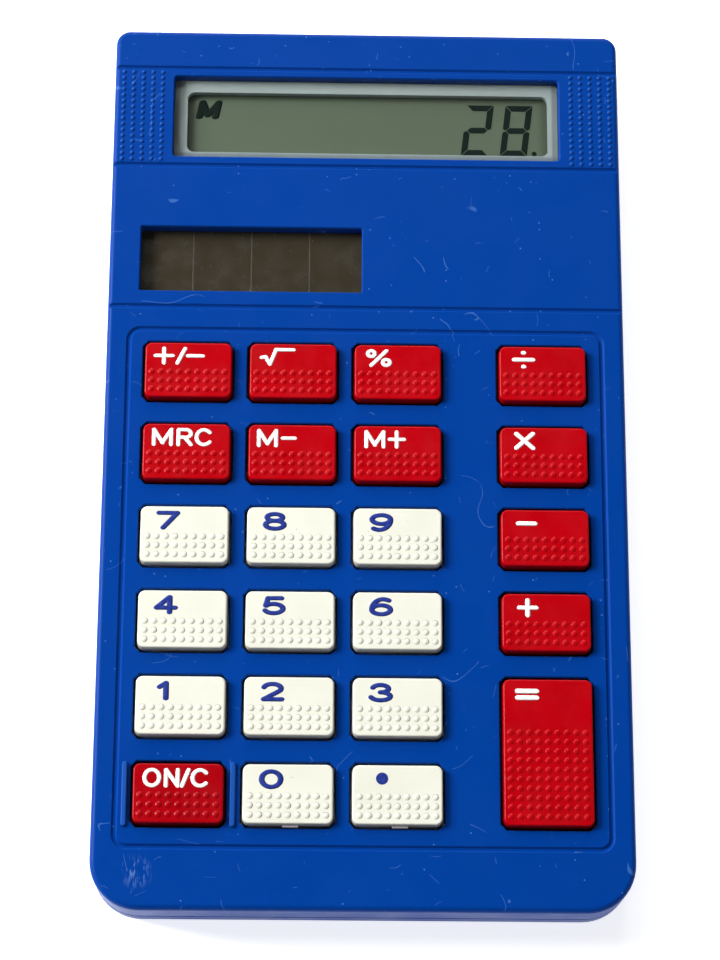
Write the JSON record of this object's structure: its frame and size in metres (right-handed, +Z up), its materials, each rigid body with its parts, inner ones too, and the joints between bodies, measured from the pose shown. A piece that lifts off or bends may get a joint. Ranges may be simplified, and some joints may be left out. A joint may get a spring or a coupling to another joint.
{
  "type": "pocket calculator",
  "caption": "Solar pocket calculator: flat blue two-shell case with a windowed display, a solar cell and sprung red and white push keys over a rubber membrane.",
  "frame": {"origin": "centre of the rear face, on the surface the calculator lies on", "axes": "+X to the right of the keys, +Y towards the display end, +Z up out of the key face"},
  "size_m": [0.071, 0.1244, 0.0115],
  "materials": {
    "blue_plastic": "moulded ABS, satin, solid blue",
    "grey_plastic": "satin grey frame",
    "clear_plastic": "clear acrylic",
    "display_glass": "liquid crystal cell, glass",
    "display_film": "grey-green polariser film",
    "reflector_film": "grey-green reflector film",
    "foam": "black closed-cell foam",
    "ribbon_film": "amber film lead with printed carbon tracks",
    "solar_glass": "amorphous cell on glass, dark olive brown",
    "red_insulation": "PVC insulation, red",
    "black_insulation": "PVC insulation, black",
    "board": "phenolic board, tan",
    "carbon_print": "carbon ink",
    "silicone": "translucent grey silicone rubber",
    "black_epoxy": "black epoxy drop",
    "ceramic_coat": "dipped ceramic, ochre",
    "resistor_body": "lacquered carbon film, tan",
    "diode_glass": "amber glass body",
    "capacitor_sleeve": "dark blue shrink sleeve",
    "screw_steel": "zinc-plated steel",
    "red_plastic": "moulded ABS, red",
    "dark_red_plastic": "moulded ABS, deep red",
    "white_plastic": "moulded ABS, warm white"
  },
  "bodies": {
    "case": {"board_screws": "screw_steel", "case_screws": "screw_steel", "chip_drop": "black_epoxy", "diode": "diode_glass", "disc_capacitor": "ceramic_coat", "display_frame": "grey_plastic", "display_window": "clear_plastic", "front_case": "blue_plastic", "key_contacts": "carbon_print", "key_membrane": "silicone", "lcd_foam": "foam", "lcd_glass": "display_glass", "lcd_polariser": "display_film", "lcd_reflector": "reflector_film", "lcd_ribbon": "ribbon_film", "main_board": "board", "rear_case": "blue_plastic", "resistor": "resistor_body", "solar_cell": "solar_glass", "solar_foam": "foam", "solar_lead_black": "black_insulation", "solar_lead_red": "red_insulation", "storage_capacitor": "capacitor_sleeve"},
    "key_0": {"key_0": "white_plastic"},
    "key_1": {"key_1": "white_plastic"},
    "key_2": {"key_2": "white_plastic"},
    "key_3": {"key_3": "white_plastic"},
    "key_4": {"key_4": "white_plastic"},
    "key_5": {"key_5": "white_plastic"},
    "key_6": {"key_6": "white_plastic"},
    "key_7": {"key_7": "white_plastic"},
    "key_8": {"key_8": "white_plastic"},
    "key_9": {"key_9": "white_plastic"},
    "key_divide": {"key_divide": "red_plastic"},
    "key_equals": {"key_equals": "red_plastic"},
    "key_memory_minus": {"key_memory_minus": "red_plastic"},
    "key_memory_plus": {"key_memory_plus": "red_plastic"},
    "key_memory_recall": {"key_memory_recall": "red_plastic"},
    "key_minus": {"key_minus": "red_plastic"},
    "key_multiply": {"key_multiply": "red_plastic"},
    "key_on_clear": {"key_on_clear": "dark_red_plastic"},
    "key_percent": {"key_percent": "red_plastic"},
    "key_plus": {"key_plus": "red_plastic"},
    "key_point": {"key_point": "white_plastic"},
    "key_root": {"key_root": "red_plastic"},
    "key_sign": {"key_sign": "red_plastic"}
  },
  "joints": [
    {"name": "key_0_press", "type": "slide", "parent": "case", "child": "key_0", "axis": [0, 0, -1], "range_m": [0, 0.0009], "stiffness_N_per_m": 600, "springref_m": -0.0005, "deforming": ["key_membrane"]},
    {"name": "key_1_press", "type": "slide", "parent": "case", "child": "key_1", "axis": [0, 0, -1], "range_m": [0, 0.0009], "stiffness_N_per_m": 600, "springref_m": -0.0005, "deforming": ["key_membrane"]},
    {"name": "key_2_press", "type": "slide", "parent": "case", "child": "key_2", "axis": [0, 0, -1], "range_m": [0, 0.0009], "stiffness_N_per_m": 600, "springref_m": -0.0005, "deforming": ["key_membrane"]},
    {"name": "key_3_press", "type": "slide", "parent": "case", "child": "key_3", "axis": [0, 0, -1], "range_m": [0, 0.0009], "stiffness_N_per_m": 600, "springref_m": -0.0005, "deforming": ["key_membrane"]},
    {"name": "key_4_press", "type": "slide", "parent": "case", "child": "key_4", "axis": [0, 0, -1], "range_m": [0, 0.0009], "stiffness_N_per_m": 600, "springref_m": -0.0005, "deforming": ["key_membrane"]},
    {"name": "key_5_press", "type": "slide", "parent": "case", "child": "key_5", "axis": [0, 0, -1], "range_m": [0, 0.0009], "stiffness_N_per_m": 600, "springref_m": -0.0005, "deforming": ["key_membrane"]},
    {"name": "key_6_press", "type": "slide", "parent": "case", "child": "key_6", "axis": [0, 0, -1], "range_m": [0, 0.0009], "stiffness_N_per_m": 600, "springref_m": -0.0005, "deforming": ["key_membrane"]},
    {"name": "key_7_press", "type": "slide", "parent": "case", "child": "key_7", "axis": [0, 0, -1], "range_m": [0, 0.0009], "stiffness_N_per_m": 600, "springref_m": -0.0005, "deforming": ["key_membrane"]},
    {"name": "key_8_press", "type": "slide", "parent": "case", "child": "key_8", "axis": [0, 0, -1], "range_m": [0, 0.0009], "stiffness_N_per_m": 600, "springref_m": -0.0005, "deforming": ["key_membrane"]},
    {"name": "key_9_press", "type": "slide", "parent": "case", "child": "key_9", "axis": [0, 0, -1], "range_m": [0, 0.0009], "stiffness_N_per_m": 600, "springref_m": -0.0005, "deforming": ["key_membrane"]},
    {"name": "key_divide_press", "type": "slide", "parent": "case", "child": "key_divide", "axis": [0, 0, -1], "range_m": [0, 0.0009], "stiffness_N_per_m": 600, "springref_m": -0.0005, "deforming": ["key_membrane"]},
    {"name": "key_equals_press", "type": "slide", "parent": "case", "child": "key_equals", "axis": [0, 0, -1], "range_m": [0, 0.0009], "stiffness_N_per_m": 600, "springref_m": -0.0005, "deforming": ["key_membrane"]},
    {"name": "key_memory_minus_press", "type": "slide", "parent": "case", "child": "key_memory_minus", "axis": [0, 0, -1], "range_m": [0, 0.0009], "stiffness_N_per_m": 600, "springref_m": -0.0005, "deforming": ["key_membrane"]},
    {"name": "key_memory_plus_press", "type": "slide", "parent": "case", "child": "key_memory_plus", "axis": [0, 0, -1], "range_m": [0, 0.0009], "stiffness_N_per_m": 600, "springref_m": -0.0005, "deforming": ["key_membrane"]},
    {"name": "key_memory_recall_press", "type": "slide", "parent": "case", "child": "key_memory_recall", "axis": [0, 0, -1], "range_m": [0, 0.0009], "stiffness_N_per_m": 600, "springref_m": -0.0005, "deforming": ["key_membrane"]},
    {"name": "key_minus_press", "type": "slide", "parent": "case", "child": "key_minus", "axis": [0, 0, -1], "range_m": [0, 0.0009], "stiffness_N_per_m": 600, "springref_m": -0.0005, "deforming": ["key_membrane"]},
    {"name": "key_multiply_press", "type": "slide", "parent": "case", "child": "key_multiply", "axis": [0, 0, -1], "range_m": [0, 0.0009], "stiffness_N_per_m": 600, "springref_m": -0.0005, "deforming": ["key_membrane"]},
    {"name": "key_on_clear_press", "type": "slide", "parent": "case", "child": "key_on_clear", "axis": [0, 0, -1], "range_m": [0, 0.0009], "stiffness_N_per_m": 600, "springref_m": -0.0005, "deforming": ["key_membrane"]},
    {"name": "key_percent_press", "type": "slide", "parent": "case", "child": "key_percent", "axis": [0, 0, -1], "range_m": [0, 0.0009], "stiffness_N_per_m": 600, "springref_m": -0.0005, "deforming": ["key_membrane"]},
    {"name": "key_plus_press", "type": "slide", "parent": "case", "child": "key_plus", "axis": [0, 0, -1], "range_m": [0, 0.0009], "stiffness_N_per_m": 600, "springref_m": -0.0005, "deforming": ["key_membrane"]},
    {"name": "key_point_press", "type": "slide", "parent": "case", "child": "key_point", "axis": [0, 0, -1], "range_m": [0, 0.0009], "stiffness_N_per_m": 600, "springref_m": -0.0005, "deforming": ["key_membrane"]},
    {"name": "key_root_press", "type": "slide", "parent": "case", "child": "key_root", "axis": [0, 0, -1], "range_m": [0, 0.0009], "stiffness_N_per_m": 600, "springref_m": -0.0005, "deforming": ["key_membrane"]},
    {"name": "key_sign_press", "type": "slide", "parent": "case", "child": "key_sign", "axis": [0, 0, -1], "range_m": [0, 0.0009], "stiffness_N_per_m": 600, "springref_m": -0.0005, "deforming": ["key_membrane"]}
  ]
}
